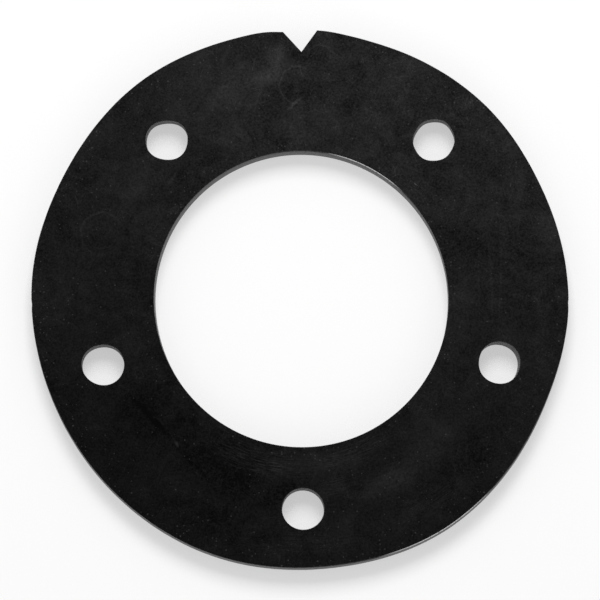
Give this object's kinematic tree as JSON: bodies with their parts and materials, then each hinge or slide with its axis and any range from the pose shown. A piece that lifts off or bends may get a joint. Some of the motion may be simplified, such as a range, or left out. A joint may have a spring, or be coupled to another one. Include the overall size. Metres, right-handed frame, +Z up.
{
  "type": "rubber flange gasket",
  "caption": "Flat rubber ring gasket with a large bore, unevenly spaced bolt holes and a V-shaped locating notch in its outside edge.",
  "frame": {"origin": "centre of the bore on the gasket's underside", "axes": "+Z up through the sheet, along the bore's axis; +Y from the bore towards the V notch; +X to the right seen from above with the notch away from the viewer"},
  "size_m": [0.0692, 0.0697, 0.0032],
  "materials": {
    "rubber": "matt black sheet rubber, cloudy and dusted with bloom"
  },
  "bodies": {
    "root": {"gasket": "rubber"}
  },
  "joints": []
}
